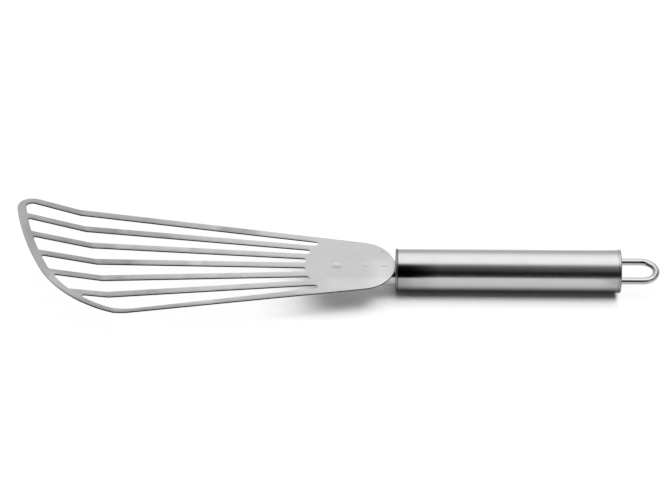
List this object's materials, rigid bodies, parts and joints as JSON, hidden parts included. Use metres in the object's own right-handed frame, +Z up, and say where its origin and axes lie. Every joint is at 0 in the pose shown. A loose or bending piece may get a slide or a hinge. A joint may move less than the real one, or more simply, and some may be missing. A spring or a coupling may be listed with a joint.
{
  "type": "fish spatula",
  "caption": "Fish spatula with a thin slotted blade that fans out and turns up at its tip, a round bar neck, a round hollow steel handle and a wire hanging loop.",
  "frame": {"origin": "centre of the whole spatula's box, on the surface that it lies on", "axes": "+X along the handle from the blade towards the hanging loop, +Y across the blade towards its longer side, +Z up from the surface, with the blade's upper face up"},
  "size_m": [0.3312, 0.0864, 0.0224],
  "materials": {
    "blade": "satin rolled stainless steel sheet with broken edges",
    "neck": "satin stainless steel round bar with a milled flat",
    "weld": "plain stainless steel weld metal",
    "cap": "satin turned stainless steel",
    "handle": "fine satin stainless steel tube with soft reflections along it",
    "loop": "bright drawn stainless steel wire"
  },
  "bodies": {
    "root": {"blade": "blade", "neck": "neck", "spot_welds": "weld", "front_cap": "cap", "neck_weld": "weld", "handle_tube": "handle", "end_cap": "cap", "hanging_loop": "loop", "loop_welds": "weld"}
  },
  "joints": []
}
